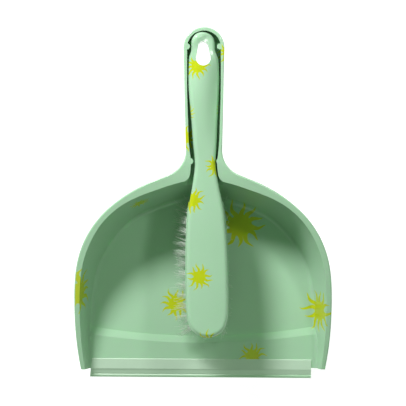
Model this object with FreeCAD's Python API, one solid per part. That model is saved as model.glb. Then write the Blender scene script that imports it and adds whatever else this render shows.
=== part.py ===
import FreeCAD, Part
import math
import os

# Dust pan with a hand brush parked in its handle.
# Millimetres.  +Z up, +Y towards the handle end, the lip at -Y, +X to the right.
# The pan stands on its flat base at z = 0.

os.makedirs("parts", exist_ok=True)
V = FreeCAD.Vector

# pan bowl
wall = 2.4
floor_top = 3.0
front_y = -154.2
open_y = -168.2
rim_front_z = 18.0
rim_slope = 0.25
rim_thick = 2.8
rim_edge_radius = 1.2
crease_radius = 4.0

# apron between the ridge and the lip
apron_front_z = 4.1
apron_slope = 0.03
apron_thick = 2.2
ridge_centre_y = 496.3
ridge_foot_radius = 620.0
ridge_run = 7.0

# pan handle, a channel open at the top
handle_x = 0.9
handle_top_z = 65.0
handle_bend = 9.8
channel_floor_z = 50.0
channel_draft = 0.4
handle_end_y = 144.9
channel_end_r = 15.5
handle_end_r = 18.8
channel_sole_radius = 2.5
channel_outer_radius = 5.0
neck_radius = 8.0
nib_radius = 2.8
nib_depth = 5.0
nib_places = [(-12.0, 145.8), (12.7, 145.8), (-8.9, 40.8), (12.1, 40.8)]
nib_clear = 20.0

# hanging hole, pear shaped
hole_small_y = 146.0
hole_small_r = 4.6
hole_big_y = 135.0
hole_big_r = 6.7
pan_hole_extra = 1.4

# lip, a soft strip clipped over the front edge
lip_left = -107.6
lip_right = 102.6
lip_back_y = -145.4
lip_front_y = -163.3
lip_yaw = -0.4
lip_step = 0.7
lip_end_cut = 2.0
lip_bead = 3.0

# brush
brush_yaw = 1.0
brush_pivot_x = 0.1
brush_pivot_y = 145.8
brush_top_z = 67.0
grip_bottom_z = channel_floor_z + 0.3
head_bottom_z = 54.0
head_start_y = 8.0
top_round = 4.2
sole_round = 4.5
skirt_width = 0.8
skirt_height = 3.2
crown_reach = 24.0

# crown of the brush top: (y, radius across, x of the highest line)
crown_stations = [(-140.0, 150.0, 0.0), (-110.0, 150.0, 0.0), (-80.0, 150.0, 0.0), (-50.0, 150.0, 0.0),
                  (-22.0, 150.0, 0.0), (5.0, 120.0, 0.0), (30.0, 60.0, -4.0), (55.0, 40.0, -8.5),
                  (80.0, 28.0, -8.0), (100.0, 24.0, -6.0), (120.0, 22.0, -1.5), (142.0, 28.0, 0.0),
                  (172.0, 40.0, 0.0)]

# bristles
row_count = 5
tuft_pitch = 9.4
tuft_first_y = -7.0
tuft_count = 12
tuft_root_r = 2.0
tuft_tip_r = 4.1
tuft_hole_depth = 9.0
tuft_tip_z = 13.0
edge_margin = 4.2
row_lean = 6.5
row_splay = 10.5
end_fan = 11.0
staple_size = (3.0, 0.5, 2.2)
staple_depth = 6.5

# half outlines, from the front towards the handle end
rim_outer = [(112.0, open_y), (115.0, front_y), (118.7, -128.0), (120.2, -98.0), (119.7, -74.0), (116.4, -50.5),
             (109.3, -31.0), (100.3, -16.4), (90.0, -4.8), (77.0, 6.0), (62.0, 15.6), (47.0, 22.6),
             (34.0, 27.8), (27.4, 31.0), (21.4, 36.6), (17.7, 43.8), (16.7, 52.5)]
rim_inner = [(108.6, open_y), (111.0, front_y), (114.3, -128.0), (115.5, -98.0), (114.8, -76.0), (110.7, -50.0),
             (103.5, -31.5), (94.0, -16.5), (82.0, -4.6), (68.2, 4.3), (54.1, 10.4), (40.0, 15.4),
             (20.0, 21.5), (0.0, 24.0)]
base_line = [(107.0, open_y), (107.3, front_y), (107.1, -128.0), (105.6, -98.0), (103.8, -78.0), (98.6, -57.0),
             (91.0, -41.5), (82.0, -28.5), (71.0, -16.5), (57.5, -6.5), (44.0, -0.2), (30.0, 4.6),
             (14.0, 8.6), (0.0, 10.0)]
channel_line = [(14.6, 0.0), (14.4, 14.0), (13.7, 23.0), (12.5, 32.0), (12.0, 39.0), (12.6, 46.0),
                (13.6, 54.0), (14.5, 74.0), (15.2, 94.0), (15.5, 112.0)]
brush_line = [(0.0, -120.6), (7.0, -119.3), (13.0, -115.4), (17.0, -108.5), (18.9, -96.0),
              (19.3, -78.0), (19.2, -60.0), (18.8, -40.0), (17.8, -20.0), (15.7, 0.0), (12.9, 14.7),
              (10.5, 28.4), (9.5, 37.5), (10.2, 50.0), (12.0, 78.0), (13.85, 105.0), (14.3, 120.0),
              (14.0, 130.0), (12.9, 137.0), (11.2, 141.6), (10.8, 146.5), (10.4, 151.8), (8.2, 156.0),
              (4.5, 158.5), (0.0, 159.5)]


def rim_z(y):
    """Height of the rim plane over the bowl."""
    return rim_front_z + rim_slope * (y - front_y)


def apron_z(y):
    """Height of the apron surface."""
    return apron_front_z + apron_slope * (y - front_y)


def widened(points, gap):
    """Half outline moved outwards by gap, square to its own run."""
    moved = []
    last = len(points) - 1
    for i, (x, y) in enumerate(points):
        if x == 0.0:
            moved.append((0.0, y + (gap if i == last else -gap)))
            continue
        ax, ay = points[max(i - 1, 0)]
        bx, by = points[min(i + 1, last)]
        if y == open_y:
            ax = bx
        length = math.hypot(bx - ax, by - ay)
        moved.append((x + gap * (by - ay) / length, y - gap * (bx - ax) / length))
    return moved


def mirrored(half):
    """Right half then left half, the shared middle point used once."""
    left = [(-x, y) for x, y in reversed(half) if x > 0.0]
    return half + left


def spline(points, z_of):
    """Smooth edge through the points, lifted to z_of(y)."""
    curve = Part.BSplineCurve()
    curve.interpolate([V(x, y, z_of(y)) for x, y in points])
    return curve.toShape()


def bowl_ring(half, z_of):
    """Closed wire: the bowl outline, closed straight across its open front."""
    points = mirrored(half)
    right = V(points[0][0], points[0][1], z_of(points[0][1]))
    left = V(points[-1][0], points[-1][1], z_of(points[-1][1]))
    return Part.Wire([spline(points, z_of), Part.makeLine(left, right)])


def bowl_solid(gap, low_z, high):
    """Drafted bowl shape, gap outside the inner surface, from low_z to high over the rim."""
    draft = 0.3
    low = bowl_ring(widened(base_line, gap - draft * (floor_top - low_z)), lambda y: low_z)
    top = bowl_ring(widened(rim_inner, gap + draft * high), lambda y: rim_z(y) + high)
    return Part.makeLoft([low, top], True, True)


def side_profile(points):
    """Slab across the full width with the given (y, z) outline."""
    corners = [V(-200.0, y, z) for y, z in points]
    face = Part.Face(Part.makePolygon(corners + corners[:1]))
    return face.extrude(V(400.0, 0.0, 0.0))


def under_rim(drop):
    """Everything lower than the rim surface less drop."""
    corner_y = front_y + (handle_top_z - rim_front_z) / rim_slope
    slope_run = handle_bend * math.cos(math.atan(rim_slope))
    start = V(-200.0, corner_y - slope_run, handle_top_z - slope_run * rim_slope - drop)
    end = V(-200.0, corner_y + handle_bend, handle_top_z - drop)
    half_turn = math.atan(rim_slope) / 2.0
    radius = handle_bend / math.tan(half_turn)
    middle = V(-200.0, end.y - radius * math.sin(half_turn), end.z - radius * (1.0 - math.cos(half_turn)))
    bend = Part.Arc(start, middle, end).toShape()
    front = V(-200.0, -200.0, rim_z(-200.0) - drop)
    back = V(-200.0, 200.0, handle_top_z - drop)
    low_back = V(-200.0, 200.0, -20.0)
    low_front = V(-200.0, -200.0, -20.0)
    rest = Part.makePolygon([end, back, low_back, low_front, front, start])
    return Part.Face(Part.Wire([bend] + rest.Edges)).extrude(V(400.0, 0.0, 0.0))


def prism(wire, low_z, height):
    """Upright solid on a flat wire."""
    base = Part.Face(wire)
    base.translate(V(0.0, 0.0, low_z))
    return base.extrude(V(0.0, 0.0, height))


def handle_lean(y):
    """Sideways offset of the handle, fading out at the bowl."""
    return handle_x * min(max(y / 40.0, 0.0), 1.0)


def rim_outline():
    """Flat outer outline of the whole pan seen from above."""
    end = V(handle_x, handle_end_y + handle_end_r, 0.0)
    right = [(x + handle_lean(y), y) for x, y in rim_outer]
    left = [(-x + handle_lean(y), y) for x, y in reversed(rim_outer)]
    right_top = V(handle_x + handle_end_r, handle_end_y, 0.0)
    left_top = V(handle_x - handle_end_r, handle_end_y, 0.0)
    right_neck = V(right[-1][0], right[-1][1], 0.0)
    left_neck = V(left[0][0], left[0][1], 0.0)
    flat = lambda y: 0.0
    edges = [spline(right, flat), Part.makeLine(right_neck, right_top)]
    edges += [Part.Arc(right_top, end, left_top).toShape(), Part.makeLine(left_top, left_neck)]
    edges += [spline(left, flat), Part.makeLine(V(left[-1][0], open_y, 0.0), V(right[0][0], open_y, 0.0))]
    return Part.Wire(edges)


def channel_ring(gap, z):
    """Closed wire of the handle channel at height z, gap outside its rim size."""
    half = widened(channel_line, gap)
    right = [(x + handle_x, y) for x, y in half]
    left = [(-x + handle_x, y) for x, y in reversed(half)]
    radius = channel_end_r + gap
    right_top = V(handle_x + radius, handle_end_y, z)
    left_top = V(handle_x - radius, handle_end_y, z)
    end = V(handle_x, handle_end_y + radius, z)
    edges = [spline(right, lambda y: z)]
    edges += [Part.makeLine(V(right[-1][0], right[-1][1], z), right_top)]
    edges += [Part.Arc(right_top, end, left_top).toShape()]
    edges += [Part.makeLine(left_top, V(left[0][0], left[0][1], z))]
    edges += [spline(left, lambda y: z)]
    edges += [Part.makeLine(V(left[-1][0], left[-1][1], z), V(right[0][0], right[0][1], z))]
    return Part.Wire(edges)


def channel_solid(gap, low_z, top_z):
    """Drafted handle channel shape between two heights."""
    slope = channel_draft / (handle_top_z - channel_floor_z)
    low = channel_ring(gap - slope * (handle_top_z - low_z), low_z)
    top = channel_ring(gap + slope * (top_z - handle_top_z), top_z)
    return Part.makeLoft([low, top], True, True)


def pear(extra, low_z, height):
    """Pear shaped hole cutter."""
    small = hole_small_r + extra
    big = hole_big_r + extra
    run = hole_small_y - hole_big_y
    tilt = math.asin((big - small) / run)
    corners = []
    for x_sign, centre_y, radius in [(1, hole_big_y, big), (1, hole_small_y, small),
                                     (-1, hole_small_y, small), (-1, hole_big_y, big)]:
        corners.append(V(x_sign * radius * math.cos(tilt), centre_y + radius * math.sin(tilt), 0.0))
    top = V(0.0, hole_small_y + small, 0.0)
    bottom = V(0.0, hole_big_y - big, 0.0)
    edges = [Part.makeLine(corners[0], corners[1]), Part.Arc(corners[1], top, corners[2]).toShape()]
    edges += [Part.makeLine(corners[2], corners[3]), Part.Arc(corners[3], bottom, corners[0]).toShape()]
    return prism(Part.Wire(edges), low_z, height)


def edges_near(shape, test):
    """Edges whose middle point passes the test."""
    found = []
    for edge in shape.Edges:
        if test(edge.valueAt((edge.FirstParameter + edge.LastParameter) / 2.0), edge):
            found.append(edge)
    return found


def ridge_cone(gap, low_z):
    """Upright cone whose near side is the bowl's front slope, gap nearer the front."""
    ridge_z = apron_z(ridge_centre_y - ridge_foot_radius)
    growth = ridge_run / (ridge_z - floor_top)
    height = 90.0
    foot = ridge_foot_radius + gap + growth * (low_z - floor_top)
    centre = V(0.0, ridge_centre_y, low_z)
    return Part.makeCone(foot, foot + growth * height, height, centre, V(0, 0, 1))


def bowl_void():
    """Space inside the bowl and over the apron."""
    full = bowl_solid(0.0, -6.0, 6.0)
    deep = full.common(side_profile([(-190.0, floor_top), (60.0, floor_top), (60.0, 120.0), (-190.0, 120.0)]))
    foot = edges_near(deep, lambda p, e: p.z < floor_top + 0.01 and p.y > open_y + 1.0)
    deep = deep.makeFillet(crease_radius, foot).common(ridge_cone(0.0, floor_top))
    over = side_profile([(-190.0, apron_z(-190.0)), (60.0, apron_z(60.0)), (60.0, 120.0), (-190.0, 120.0)])
    over = full.common(over)
    foot = edges_near(over, lambda p, e: p.z < apron_z(p.y) + 0.01 and p.y > open_y + 1.0)
    return deep.fuse(over.makeFillet(crease_radius, foot))


def apron_relief():
    """Hollow under the apron and the ridge."""
    low = side_profile([(-190.0, apron_z(-190.0) - apron_thick), (-60.0, apron_z(-60.0) - apron_thick),
                        (-60.0, -20.0), (-190.0, -20.0)])
    return low.cut(ridge_cone(wall, -12.0))


def pan_shell():
    """Bowl wall, floor, rim flange and handle before the inside is taken out."""
    bowl = bowl_solid(wall, 0.0, 6.0)
    foot = edges_near(bowl, lambda p, e: p.z < 0.01 and p.y > -10.0)
    bowl = bowl.makeFillet(crease_radius + wall, foot)
    handle = channel_solid(wall, channel_floor_z - wall, handle_top_z + 6.0)
    sole = edges_near(handle, lambda p, e: p.z < channel_floor_z - wall + 0.01 and p.y > 30.0)
    handle = handle.makeFillet(channel_outer_radius, sole)
    return bowl.fuse(handle).common(under_rim(0.3)).fuse(rim_flange())


def handle_channel():
    """Space inside the handle channel, running on into the bowl."""
    space = channel_solid(0.0, channel_floor_z, handle_top_z + 6.0)
    sole = edges_near(space, lambda p, e: p.z < channel_floor_z + 0.01 and p.y > 30.0)
    return space.makeFillet(channel_sole_radius, sole)


def inside_space():
    """Bowl and channel as one space, rounded where they meet at the neck."""
    space = bowl_void().fuse(handle_channel())
    neck = edges_near(space, lambda p, e: abs(p.x - handle_x) < 16.0 and 14.0 < p.y < 30.0 and 49.0 < p.z < 64.0)
    space = space.makeFillet(neck_radius, neck)
    nibs = []
    for x, y in nib_places:
        centre_x = x - nib_radius if x < 0.0 else x + nib_radius
        nibs.append(Part.makeCylinder(nib_radius, nib_depth + nib_clear, V(centre_x, y, handle_top_z - nib_depth)))
    return space.cut(nibs)


def rim_flange():
    """Band all round the top edge with rounded outer edges."""
    slab = under_rim(0.0).cut(under_rim(rim_thick))
    band = prism(rim_outline(), 0.0, 90.0).common(slab)
    outer = edges_near(band, lambda p, e: e.Length > 5.0 and (abs(p.x - handle_x) > 5.0 or p.y > 160.0))
    outer = [edge for edge in outer if edge.CenterOfMass.y > open_y + 1.0]
    return band.makeFillet(rim_edge_radius, outer)


def pan_body():
    """The whole pan as one moulding."""
    body = pan_shell().cut(inside_space())
    body = body.cut(apron_relief())
    body = body.cut(Part.makeBox(400.0, 100.0, 200.0, V(-200.0, front_y - 100.0, -20.0)))
    hole = pear(pan_hole_extra, channel_floor_z - 10.0, 30.0)
    return body.cut(hole)


def lip_profile():
    """Section of the lip as (y, z): chamfered back edge, beaded front edge, gripping lower jaw."""
    back_top = apron_z(lip_back_y) + lip_step
    bead_y = lip_front_y + lip_bead
    grip_y = lip_back_y - 2.0
    top = [(lip_back_y, back_top - 1.2), (lip_back_y, back_top - 0.5), (lip_back_y - 0.6, back_top),
           (front_y - 0.8, apron_z(front_y) + lip_step - 0.2)]
    bead = [(bead_y + 0.4, 2.3), (bead_y, 1.8), (bead_y - 0.5, 2.1), (bead_y - 1.6, 2.0),
            (bead_y - 2.5, 1.5), (lip_front_y, 0.8), (lip_front_y + 0.3, 0.0)]
    jaw = [(front_y - 1.5, 0.0), (grip_y, apron_z(grip_y) - apron_thick - 0.9), (grip_y, apron_z(grip_y) - 1.0)]
    return top + bead + jaw


def pan_lip(pan):
    """Soft strip gripping the front edge of the apron, its left end cut a little askew."""
    points = lip_profile()
    corners = [V(lip_left, y, z) for y, z in points]
    strip = Part.Face(Part.makePolygon(corners + corners[:1])).extrude(V(lip_right - lip_left, 0.0, 0.0))
    askew = [V(lip_left, lip_front_y, 0.0), V(lip_left + lip_end_cut, lip_back_y, 0.0), V(lip_left, lip_back_y, 0.0)]
    strip = strip.cut(prism(Part.makePolygon(askew + askew[:1]), -1.0, 20.0))
    strip.rotate(V(0.0, lip_front_y, 0.0), V(0, 0, 1), lip_yaw)
    return strip.cut(pan)


def brush_ring(gap):
    """Closed flat wire of the brush outline."""
    points = mirrored(widened(brush_line, gap))
    curve = Part.BSplineCurve()
    curve.interpolate(Points=[V(x, y, 0.0) for x, y in points], PeriodicFlag=True)
    return Part.Wire([curve.toShape()])


def seated(shape):
    """Brush shape turned to the way it lies in the channel."""
    shape.translate(V(brush_pivot_x, 0.0, 0.0))
    shape.rotate(V(brush_pivot_x, brush_pivot_y, 0.0), V(0, 0, 1), brush_yaw)
    return shape


def crown_cutter():
    """Everything above the crowned top face of the brush."""
    sections = []
    for y, radius, ridge_x in crown_stations:
        curve = Part.BSplineCurve()
        places = [crown_reach * step for step in (-1.0, -0.5, 0.0, 0.5, 1.0)]
        curve.interpolate([V(x, y, brush_top_z - (x - ridge_x) ** 2 / (2.0 * radius)) for x in places])
        sections.append(Part.Wire([curve.toShape()]))
    return Part.makeLoft(sections, False, False).extrude(V(0.0, 0.0, 40.0))


def brush_blank():
    """Brush body before the tuft holes, along its own axis."""
    blank = prism(brush_ring(0.0), grip_bottom_z, brush_top_z + 5.0 - grip_bottom_z)
    blank = blank.cut(crown_cutter())
    top = edges_near(blank, lambda p, e: p.z > 60.0 and e.Length > 100.0)
    blank = blank.makeFillet(top_round, top)
    sole = edges_near(blank, lambda p, e: p.z < grip_bottom_z + 0.1 and e.Length > 100.0)
    blank = blank.makeFillet(sole_round, sole)
    under_head = side_profile([(-200.0, 20.0), (-200.0, head_bottom_z), (head_start_y - 4.0, head_bottom_z),
                               (head_start_y + 6.0, grip_bottom_z), (head_start_y + 6.0, 20.0)])
    return blank.cut(under_head)


def half_width(y):
    """Half width of the brush outline at y."""
    for (ax, ay), (bx, by) in zip(brush_line, brush_line[1:]):
        if ay <= y <= by:
            return ax + (bx - ax) * (y - ay) / (by - ay)
    return 0.0


def tuft_axis(row, number):
    """Root point and direction of one tuft."""
    side = 2.0 * row / (row_count - 1) - 1.0
    along = 2.0 * number / (tuft_count - 1) - 1.0
    root_y = tuft_first_y - tuft_pitch * number
    root = V(side * (half_width(root_y) - edge_margin), root_y, head_bottom_z)
    across = math.tan(math.radians(row_splay * side - row_lean))
    fan = math.tan(math.radians(end_fan * along))
    direction = V(across, -fan, -1.0)
    return root, direction


def tuft(root, direction):
    """One spread bundle with its round root sunk in the head."""
    length = direction.Length * (head_bottom_z - tuft_tip_z)
    sunk = root - direction * (tuft_hole_depth / direction.Length)
    core = Part.makeCylinder(tuft_root_r, tuft_hole_depth, sunk, direction)
    return core.fuse(Part.makeCone(tuft_root_r, tuft_tip_r, length, root, direction))


def staple(root, direction):
    """Flat metal anchor across the bottom of one tuft hole."""
    width, thick, tall = staple_size
    plate = Part.makeBox(width, thick, tall, V(-width / 2.0, -thick / 2.0, 0.0))
    plate.Placement = FreeCAD.Placement(root, FreeCAD.Rotation(V(0, 0, -1), direction))
    plate.translate(direction * (-staple_depth / direction.Length))
    return plate


def brush_body(tufts):
    """Brush moulding with its skirt, hanging hole and tuft holes."""
    body = brush_blank()
    skirt = prism(brush_ring(skirt_width), head_bottom_z, skirt_height)
    body = body.fuse(skirt.common(Part.makeBox(80.0, 140.0, 40.0, V(-40.0, head_start_y - 144.0, 40.0))))
    body = body.cut(pear(0.0, grip_bottom_z - 5.0, 30.0))
    holes = []
    for root, direction in tufts:
        sunk = root - direction * (tuft_hole_depth / direction.Length)
        holes.append(Part.makeCylinder(tuft_root_r + 0.02, tuft_hole_depth + 4.0, sunk, direction))
    return body.cut(holes)


def save(shape, node):
    """Write one node."""
    shape.exportStep("parts/" + node + ".step")


pan = pan_body()
save(pan, "pan_body")
save(pan_lip(pan), "pan_lip")

all_tufts = []
for row in range(row_count):
    places = [tuft_axis(row, number) for number in range(tuft_count)]
    all_tufts += places
    anchors = [staple(root, direction) for root, direction in places]
    bundles = [tuft(*place).cut(anchor) for place, anchor in zip(places, anchors)]
    save(seated(Part.makeCompound(bundles)), "bristle_row_" + str(row + 1))
    save(seated(Part.makeCompound(anchors)), "tuft_anchors_" + str(row + 1))
save(seated(brush_body(all_tufts)), "brush_body")
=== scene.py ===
import math
import random

import bpy
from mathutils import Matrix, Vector

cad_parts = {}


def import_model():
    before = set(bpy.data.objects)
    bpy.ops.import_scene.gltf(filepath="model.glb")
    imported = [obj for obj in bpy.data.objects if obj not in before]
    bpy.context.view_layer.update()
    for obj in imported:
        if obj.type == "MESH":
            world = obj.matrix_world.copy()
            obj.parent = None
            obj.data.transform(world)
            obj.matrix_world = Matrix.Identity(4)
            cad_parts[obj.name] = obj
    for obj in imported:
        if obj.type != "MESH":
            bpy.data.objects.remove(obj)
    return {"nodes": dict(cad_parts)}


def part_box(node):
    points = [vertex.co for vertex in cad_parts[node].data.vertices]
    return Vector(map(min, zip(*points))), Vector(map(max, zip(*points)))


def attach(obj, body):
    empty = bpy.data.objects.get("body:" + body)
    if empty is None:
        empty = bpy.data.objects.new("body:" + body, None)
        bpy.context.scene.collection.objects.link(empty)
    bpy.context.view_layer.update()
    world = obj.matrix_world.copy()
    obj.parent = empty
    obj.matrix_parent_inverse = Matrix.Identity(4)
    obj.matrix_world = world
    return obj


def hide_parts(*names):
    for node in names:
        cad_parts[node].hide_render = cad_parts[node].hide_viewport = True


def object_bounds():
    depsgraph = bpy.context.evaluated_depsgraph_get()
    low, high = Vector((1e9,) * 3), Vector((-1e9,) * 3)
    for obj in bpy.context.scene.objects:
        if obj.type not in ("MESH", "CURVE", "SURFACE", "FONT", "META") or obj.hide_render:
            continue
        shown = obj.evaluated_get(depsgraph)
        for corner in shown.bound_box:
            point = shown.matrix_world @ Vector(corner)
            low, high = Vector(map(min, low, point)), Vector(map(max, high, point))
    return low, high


# Dust pan and hand brush.  Metres, in the CAD frame: +X right, +Y towards the handle end, +Z up.

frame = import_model()
cad_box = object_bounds()
nodes = frame["nodes"]

# ---------------------------------------------------------------- node helpers


class Graph:
    """Short way to chain shader nodes in one tree."""

    def __init__(self, tree):
        self.tree = tree

    def add(self, kind, **inputs):
        """New node.  Inputs are sockets to link or constants to set."""
        node = self.tree.nodes.new(kind)
        for name, value in inputs.items():
            self.put(node.inputs[name], value)
        return node

    def put(self, socket, value):
        """Link a socket or set its constant."""
        if isinstance(value, bpy.types.NodeSocket):
            self.tree.links.new(value, socket)
        else:
            socket.default_value = value

    def math(self, operation, *values):
        """One Math node."""
        node = self.tree.nodes.new("ShaderNodeMath")
        node.operation = operation
        for socket, value in zip(node.inputs, values):
            self.put(socket, value)
        return node.outputs[0]

    def vector(self, operation, a, b, out="Vector"):
        """One Vector Math node."""
        node = self.tree.nodes.new("ShaderNodeVectorMath")
        node.operation = operation
        self.put(node.inputs[0], a)
        self.put(node.inputs[1], b)
        return node.outputs[out]

    def ramp(self, value, low, high, to_low=0.0, to_high=1.0, smooth=False):
        """Map a range, clamped."""
        node = self.tree.nodes.new("ShaderNodeMapRange")
        node.interpolation_type = "SMOOTHSTEP" if smooth else "LINEAR"
        for name, item in (("Value", value), ("From Min", low), ("From Max", high),
                           ("To Min", to_low), ("To Max", to_high)):
            self.put(node.inputs[name], item)
        return node.outputs[0]

    def noise(self, point, scale, detail=2.0, roughness=0.5):
        """Value of a noise texture."""
        node = self.add("ShaderNodeTexNoise", Vector=point, Scale=scale, Detail=detail, Roughness=roughness)
        return node.outputs[0]

    def bump(self, height, strength, distance):
        """Normal raised by a height."""
        node = self.add("ShaderNodeBump", Strength=strength, Distance=distance, Height=height)
        return node.outputs[0]

    def mix(self, factor, a, b):
        """Mix two colours."""
        node = self.tree.nodes.new("ShaderNodeMix")
        node.data_type = "RGBA"
        self.put(node.inputs[0], factor)
        self.put(node.inputs[6], a)
        self.put(node.inputs[7], b)
        return node.outputs[2]


def new_material(name):
    """Empty material: its graph, its shader and its object coordinates."""
    material = bpy.data.materials.new(name)
    material.use_nodes = True
    graph = Graph(material.node_tree)
    shader = material.node_tree.nodes["Principled BSDF"]
    point = graph.add("ShaderNodeTexCoord").outputs["Object"]
    return material, graph, shader, point


# ---------------------------------------------------------------- sun print

# Lengths within a sun are fractions of its radius.  FACING is the cosine between the surface and the
# direction of the print at which the print is gone, and the one at which it is full.
RAYS = 12
DISC = 0.47
DISC_EDGE = 0.03
RAY_ROOT = 0.43
RAY_TIP = 0.97
RAY_TIP_SPREAD = 0.25
RAY_HALF_WIDTH = 0.132
RAY_TAPER = 0.66
RAY_SWAY = 0.20
RAY_EDGE = (-0.004, 0.022)
SWAY_WAVES = 7.0
SWAY_SHIFT = 6.0
TURN_SEED = 7.0
FACING = (0.12, 0.30)


def sun_group():
    """Node group: 1 inside one printed sun, on faces turned towards it, and 0 elsewhere."""
    group = bpy.data.node_groups.new("sun_print", "ShaderNodeTree")
    face = group.interface
    for name, kind in (("Point", "Vector"), ("Centre", "Vector"), ("Right", "Vector"), ("Up", "Vector"),
                       ("Radius", "Float"), ("Turn", "Float"), ("Depth", "Float"), ("Surface", "Vector")):
        face.new_socket(name, in_out="INPUT", socket_type="NodeSocket" + kind)
    face.new_socket("Mask", in_out="OUTPUT", socket_type="NodeSocketFloat")
    graph = Graph(group)
    given = group.nodes.new("NodeGroupInput").outputs
    away = graph.vector("SUBTRACT", given["Point"], given["Centre"])
    u = graph.math("DIVIDE", graph.vector("DOT_PRODUCT", away, given["Right"], "Value"), given["Radius"])
    v = graph.math("DIVIDE", graph.vector("DOT_PRODUCT", away, given["Up"], "Value"), given["Radius"])
    normal = graph.vector("CROSS_PRODUCT", given["Right"], given["Up"])
    lift = graph.math("ABSOLUTE", graph.vector("DOT_PRODUCT", away, normal, "Value"))
    near = graph.math("LESS_THAN", lift, given["Depth"])
    facing = graph.vector("DOT_PRODUCT", given["Surface"], normal, "Value")
    near = graph.math("MULTIPLY", near, graph.ramp(facing, *FACING))
    rho = graph.math("SQRT", graph.math("ADD", graph.math("MULTIPLY", u, u), graph.math("MULTIPLY", v, v)))
    theta = graph.math("ADD", graph.math("ARCTAN2", v, u), given["Turn"])
    slot = graph.math("ADD", graph.math("MULTIPLY", theta, RAYS / (2.0 * math.pi)), RAYS * 2.0)
    number = graph.math("FLOOR", slot)
    ray_number = graph.math("MODULO", number, float(RAYS))
    seed = graph.math("ADD", ray_number, graph.math("MULTIPLY", given["Turn"], TURN_SEED))
    white = graph.add("ShaderNodeTexWhiteNoise")
    white.noise_dimensions = "1D"
    graph.put(white.inputs["W"], seed)
    chance = white.outputs["Value"]
    along = graph.math("MULTIPLY", rho, SWAY_WAVES)
    wave = graph.math("SINE", graph.math("ADD", along, graph.math("MULTIPLY", chance, SWAY_SHIFT)))
    sway = graph.math("MULTIPLY", wave, RAY_SWAY)
    across = graph.math("ADD", graph.math("SUBTRACT", graph.math("FRACT", slot), 0.5), sway)
    slot_arc = graph.math("MULTIPLY", rho, 2.0 * math.pi / RAYS)
    arc = graph.math("MULTIPLY", graph.math("ABSOLUTE", across), slot_arc)
    tip = graph.math("ADD", RAY_TIP, graph.math("MULTIPLY", chance, RAY_TIP_SPREAD))
    fall = graph.math("DIVIDE", graph.math("SUBTRACT", tip, rho), graph.math("SUBTRACT", tip, RAY_ROOT))
    taper = graph.math("POWER", graph.math("MAXIMUM", fall, 0.0), RAY_TAPER)
    width = graph.math("MULTIPLY", taper, RAY_HALF_WIDTH)
    ray = graph.ramp(graph.math("SUBTRACT", width, arc), *RAY_EDGE, smooth=True)
    disc = graph.ramp(rho, DISC, DISC + DISC_EDGE, 1.0, 0.0, smooth=True)
    mask = graph.math("MULTIPLY", graph.math("MAXIMUM", ray, disc), near)
    graph.put(group.nodes.new("NodeGroupOutput").inputs["Mask"], mask)
    return group


SUN_GROUP = sun_group()


def sun_mask(graph, point, suns):
    """Union of printed suns.  Each is (centre, radius, turn, normal, depth)."""
    total = None
    surface = graph.add("ShaderNodeTexCoord").outputs["Normal"]
    for centre, radius, turn, normal, depth in suns:
        normal = Vector(normal).normalized()
        right = Vector((0.0, 1.0, 0.0)).cross(normal).normalized()
        up = normal.cross(right)
        node = graph.tree.nodes.new("ShaderNodeGroup")
        node.node_tree = SUN_GROUP
        graph.put(node.inputs["Point"], point)
        graph.put(node.inputs["Surface"], surface)
        node.inputs["Centre"].default_value = centre
        node.inputs["Right"].default_value = right
        node.inputs["Up"].default_value = up
        node.inputs["Radius"].default_value = radius
        node.inputs["Turn"].default_value = turn
        node.inputs["Depth"].default_value = depth
        mask = node.outputs["Mask"]
        total = mask if total is None else graph.math("MAXIMUM", total, mask)
    return total


# ---------------------------------------------------------------- materials

GREEN = (0.392, 0.626, 0.420, 1.0)
GREEN_DEEP = (0.382, 0.614, 0.409, 1.0)
YELLOW = (0.500, 0.590, 0.008, 1.0)
LIP_GREY_GREEN = (0.51, 0.68, 0.52, 1.0)
LIP_PALE = (0.54, 0.72, 0.55, 1.0)
# Painted light: the paler colour of the lip's front slope stands in for light falling on it.
LIP_SLOPE_PAINTED_LIGHT = (0.66, 0.86, 0.67, 1.0)
LIP_BEAD_GREEN = (0.46, 0.75, 0.48, 1.0)
FILAMENT_DULL = (0.50, 0.60, 0.49, 1.0)
FILAMENT_PALE = (0.86, 0.92, 0.84, 1.0)
STEEL_DULL = (0.50, 0.50, 0.49, 1.0)
STEEL_BRIGHT = (0.66, 0.66, 0.64, 1.0)

# The bead reaches back from the lip's front edge.  The other two are measured back from the bead.  The
# slope band is painted light: a paler colour stands in for light falling on the front slope.
LIP_BEAD = 0.0026
LIP_BEAD_FADE = 0.0004
LIP_PAINTED_LIGHT_BAND = (0.0045, 0.0060)


def printed_plastic(name, suns):
    """Glossy moulded plastic in pale green with printed yellow suns."""
    material, graph, shader, point = new_material(name)
    tone = graph.ramp(graph.noise(point, 14.0, 3.0), 0.35, 0.65)
    green = graph.mix(tone, GREEN_DEEP, GREEN)
    colour = graph.mix(sun_mask(graph, point, suns), green, YELLOW)
    graph.put(shader.inputs["Base Color"], colour)
    smear = graph.noise(point, 60.0, 4.0, 0.6)
    graph.put(shader.inputs["Roughness"], graph.ramp(smear, 0.3, 0.7, 0.16, 0.24))
    shader.inputs["IOR"].default_value = 1.49
    shader.inputs["Subsurface Weight"].default_value = 0.12
    shader.inputs["Subsurface Radius"].default_value = (0.25, 1.0, 0.25)
    shader.inputs["Subsurface Scale"].default_value = 0.003
    peel = graph.noise(point, 420.0, 2.0)
    graph.put(shader.inputs["Normal"], graph.bump(peel, 0.06, 0.00015))
    return material


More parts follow.
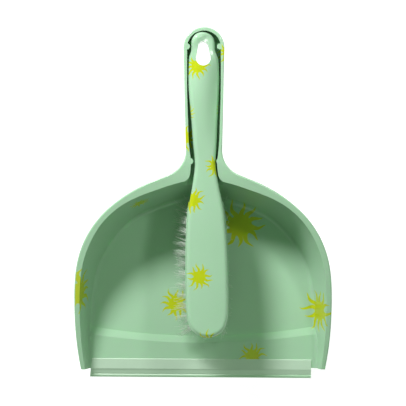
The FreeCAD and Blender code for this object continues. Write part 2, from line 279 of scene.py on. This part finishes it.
def lip_rubber():
    """Soft strip: greyer than the plastic, with painted light that makes its front slope paler, and a
    greener bead.
    """
    material, graph, shader, point = new_material("lip_rubber")
    tone = graph.ramp(graph.noise(point, 40.0, 3.0), 0.3, 0.7)
    body = graph.mix(tone, LIP_GREY_GREEN, LIP_PALE)
    along = graph.add("ShaderNodeSeparateXYZ", Vector=point).outputs["Y"]
    bead_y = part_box("pan_lip")[0][1] + LIP_BEAD
    bead = graph.ramp(along, bead_y, bead_y + LIP_BEAD_FADE, 1.0, 0.0)
    # Painted light: the front slope band is made paler, as if more light fell on it.
    painted_light = graph.ramp(along, bead_y + LIP_PAINTED_LIGHT_BAND[0], bead_y + LIP_PAINTED_LIGHT_BAND[1], 1.0, 0.0)
    body = graph.mix(painted_light, body, LIP_SLOPE_PAINTED_LIGHT)
    graph.put(shader.inputs["Base Color"], graph.mix(bead, body, LIP_BEAD_GREEN))
    graph.put(shader.inputs["Roughness"], graph.ramp(graph.noise(point, 300.0), 0.3, 0.7, 0.40, 0.55))
    grain = graph.noise(point, 1800.0, 2.0)
    graph.put(shader.inputs["Normal"], graph.bump(grain, 0.25, 0.0001))
    return material


def filament():
    """Pale monofilament, duller in places."""
    material, graph, shader, point = new_material("filament")
    tone = graph.noise(point, 900.0, 1.0)
    graph.put(shader.inputs["Base Color"], graph.mix(tone, FILAMENT_DULL, FILAMENT_PALE))
    graph.put(shader.inputs["Roughness"], graph.ramp(tone, 0.2, 0.8, 0.30, 0.45))
    return material


def anchor_steel():
    """Bright flat wire."""
    material, graph, shader, point = new_material("anchor_steel")
    tone = graph.noise(point, 2500.0, 2.0)
    graph.put(shader.inputs["Base Color"], graph.mix(tone, STEEL_DULL, STEEL_BRIGHT))
    graph.put(shader.inputs["Roughness"], graph.ramp(tone, 0.2, 0.8, 0.25, 0.45))
    shader.inputs["Metallic"].default_value = 1.0
    return material


def paint(node, material):
    """Give a CAD node its finished material."""
    mesh = nodes[node].data
    if not mesh.materials:
        mesh.materials.append(material)
    for slot in nodes[node].material_slots:
        slot.material = material


# Each sun: centre, radius, turn in radians, the direction it is printed from, and its reach along it.
UP = (0.0, 0.0, 1.0)
BRUSH_SUNS = [
    ((-0.0051, 0.1272, 0.066), 0.0112, 0.20, UP, 0.02),
    ((-0.0157, 0.0850, 0.064), 0.0082, 0.90, UP, 0.02),
    ((0.0190, 0.0872, 0.064), 0.0070, 0.40, UP, 0.02),
    ((0.0121, 0.0366, 0.064), 0.0105, 1.30, UP, 0.02),
    ((-0.0097, 0.0051, 0.064), 0.0116, 2.10, UP, 0.02),
    ((-0.0032, -0.0650, 0.064), 0.0116, 0.60, UP, 0.02),
    ((0.0053, -0.1262, 0.062), 0.0120, 1.70, UP, 0.03),
]
PAN_SUNS = [
    ((0.0236, 0.1399, 0.065), 0.0105, 0.50, UP, 0.02),
    ((-0.0171, 0.0627, 0.065), 0.0123, 1.10, UP, 0.02),
    ((0.0359, -0.0186, 0.004), 0.0220, 0.35, UP, 0.02),
    ((-0.0588, 0.0028, 0.037), 0.0095, 0.80, (0.35, -0.85, 0.40), 0.02),
    ((-0.1153, -0.0812, 0.035), 0.0205, 1.60, (0.85, 0.0, 0.53), 0.02),
    ((-0.0258, -0.0934, 0.003), 0.0142, 2.40, UP, 0.006),
    ((0.1098, -0.0989, 0.015), 0.0195, 0.95, (-0.60, 0.0, 0.80), 0.02),
    ((0.0468, -0.1428, 0.005), 0.0122, 0.15, UP, 0.006),
]

paint("pan_body", printed_plastic("pan_plastic", PAN_SUNS))
paint("brush_body", printed_plastic("brush_plastic", BRUSH_SUNS))
paint("pan_lip", lip_rubber())

# ---------------------------------------------------------------- bristles

FILAMENTS = 34
FILAMENT_R = 0.00013
FILAMENT_TAPER = 0.35
ROOT_INSET = 0.10
ROOT_SPREAD = 0.0016
TIP_SPREAD = 0.0046
TIP_JITTER = (0.0014, 0.0020)
TIP_SHORTFALL = 0.0030
BOW = (0.0014, 0.0018)
END_BAND = 0.06
SIDES = 4
STEPS = 6


def tuft_lines(node):
    """(top centre, tip centre) of each solid tuft in a CAD row."""
    vertices = [v.co.copy() for v in nodes[node].data.vertices]
    place = {}
    owner = []
    for co in vertices:
        owner.append(place.setdefault(tuple(round(c, 6) for c in co), len(place)))
    parent = list(range(len(place)))

    def root(i):
        while parent[i] != i:
            parent[i] = parent[parent[i]]
            i = parent[i]
        return i

    for edge in nodes[node].data.edges:
        a, b = edge.vertices
        parent[root(owner[a])] = root(owner[b])
    groups = {}
    for co, number in place.items():
        groups.setdefault(root(number), []).append(Vector(co))
    lines = []
    for points in groups.values():
        high = max(p.z for p in points)
        low = min(p.z for p in points)
        span = high - low
        top = [p for p in points if p.z > high - END_BAND * span]
        tip = [p for p in points if p.z < low + END_BAND * span]
        lines.append((sum(top, Vector()) / len(top), sum(tip, Vector()) / len(tip)))
    return sorted(lines, key=lambda line: -line[0].y)


def add_filament(vertices, faces, start, end, bow, radius):
    """One tapered, slightly bowed strand."""
    base = len(vertices)
    axis = (end - start).normalized()
    side = axis.cross(Vector((0.0, 1.0, 0.0))).normalized()
    other = axis.cross(side)
    for step in range(STEPS + 1):
        t = step / STEPS
        centre = start.lerp(end, t) + bow * (t * t)
        thick = radius * (1.0 - FILAMENT_TAPER * t)
        for k in range(SIDES):
            angle = 2.0 * math.pi * k / SIDES
            vertices.append(centre + side * (thick * math.cos(angle)) + other * (thick * math.sin(angle)))
    for step in range(STEPS):
        for k in range(SIDES):
            a = base + step * SIDES + k
            b = base + step * SIDES + (k + 1) % SIDES
            faces.append((a, b, b + SIDES, a + SIDES))
    faces.append(tuple(base + k for k in range(SIDES)))
    last = base + STEPS * SIDES
    faces.append(tuple(last + SIDES - 1 - k for k in range(SIDES)))


def bristle_row(node, material, seed):
    """All strands of one CAD row of tufts."""
    chance = random.Random(seed)
    vertices = []
    faces = []
    for top, tip in tuft_lines(node):
        start_centre = top.lerp(tip, ROOT_INSET)
        for _ in range(FILAMENTS):
            angle = chance.uniform(0.0, 2.0 * math.pi)
            reach = math.sqrt(chance.random())
            spread = Vector((math.cos(angle), math.sin(angle), 0.0)) * reach
            start = start_centre + spread * ROOT_SPREAD
            end = tip + spread * TIP_SPREAD
            end.x += chance.gauss(0.0, TIP_JITTER[0])
            end.y += chance.gauss(0.0, TIP_JITTER[1])
            end.z += chance.uniform(0.0, TIP_SHORTFALL)
            bow = Vector((chance.gauss(0.0, BOW[0]), chance.gauss(0.0, BOW[1]), 0.0))
            add_filament(vertices, faces, start, end, bow, FILAMENT_R * chance.uniform(0.85, 1.15))
    mesh = bpy.data.meshes.new(node + "_strands")
    mesh.from_pydata([tuple(v) for v in vertices], [], faces)
    mesh.materials.append(material)
    strands = bpy.data.objects.new(node + "_strands", mesh)
    bpy.context.scene.collection.objects.link(strands)
    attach(strands, "brush")
    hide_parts(node)


ROWS = 5
FIRST_SEED = 41
strand_material = filament()
steel = anchor_steel()
for row in range(ROWS):
    number = str(row + 1)
    bristle_row("bristle_row_" + number, strand_material, FIRST_SEED + row)
    paint("tuft_anchors_" + number, steel)

# ---------------------------------------------------------------- stage

low, high = cad_box
middle = (Vector(low) + Vector(high)) / 2.0
FLOOR_HALF = 8.0
FLOOR_Z = -0.0003
CAMERA_DISTANCE = 1.6
CAMERA_SHIFT = 0.0028
VIEW_WIDTH = 0.3868
SENSOR = 36.0
WORLD_GREEN = (0.66, 1.0, 0.66, 1.0)
FILL = 0.18


def floor():
    """Pale plain floor that stays nearly white in the shadows."""
    mesh = bpy.data.meshes.new("floor")
    signs = ((-1, -1), (1, -1), (1, 1), (-1, 1))
    corners = [(x * FLOOR_HALF, y * FLOOR_HALF, FLOOR_Z) for x, y in signs]
    mesh.from_pydata(corners, [], [(0, 1, 2, 3)])
    material, _, shader, _ = new_material("floor")
    shader.inputs["Base Color"].default_value = (0.35, 0.35, 0.35, 1.0)
    shader.inputs["Roughness"].default_value = 0.9
    shader.inputs["Specular IOR Level"].default_value = 0.0
    shader.inputs["Emission Color"].default_value = (1.0, 1.0, 1.0, 1.0)
    shader.inputs["Emission Strength"].default_value = 0.90
    mesh.materials.append(material)
    thing = bpy.data.objects.new("floor", mesh)
    bpy.context.scene.collection.objects.link(thing)


def lamp(name, azimuth, elevation, distance, size, power, colour):
    """Round area light aimed at the middle of the object."""
    data = bpy.data.lights.new(name, "AREA")
    data.shape = "DISK"
    data.size = size
    data.energy = power
    data.color = colour
    thing = bpy.data.objects.new(name, data)
    bpy.context.scene.collection.objects.link(thing)
    a = math.radians(azimuth)
    e = math.radians(elevation)
    direction = Vector((math.cos(e) * math.cos(a), math.cos(e) * math.sin(a), math.sin(e)))
    thing.location = middle + direction * distance
    thing.rotation_euler = direction.to_track_quat("Z", "Y").to_euler()


def world():
    """Even weak fill; seen directly it is white."""
    settings = bpy.data.worlds.new("studio")
    settings.use_nodes = True
    bpy.context.scene.world = settings
    graph = Graph(settings.node_tree)
    background = settings.node_tree.nodes["Background"]
    background.inputs["Color"].default_value = WORLD_GREEN
    seen = graph.add("ShaderNodeLightPath").outputs["Is Camera Ray"]
    graph.put(background.inputs["Strength"], graph.ramp(seen, 0.0, 1.0, FILL, 1.0))


def camera():
    """Long lens straight above the object."""
    data = bpy.data.cameras.new("camera")
    data.sensor_width = SENSOR
    data.lens = SENSOR * CAMERA_DISTANCE / VIEW_WIDTH
    data.clip_end = 50.0
    thing = bpy.data.objects.new("camera", data)
    bpy.context.scene.collection.objects.link(thing)
    thing.location = (middle.x, middle.y + CAMERA_SHIFT, CAMERA_DISTANCE)
    bpy.context.scene.camera = thing


floor()
# Lamps: azimuth, elevation, distance, size, power, colour.
lamp("key", 122.0, 37.0, 1.3, 0.32, 21.5, (1.0, 0.95, 1.0))
lamp("kicker", 40.0, 50.0, 1.1, 0.14, 2.2, (1.0, 1.0, 1.0))
lamp("front", -95.0, 62.0, 1.4, 0.70, 1.3, (0.80, 1.0, 0.80))
world()
camera()
bpy.context.scene.view_settings.view_transform = "Standard"
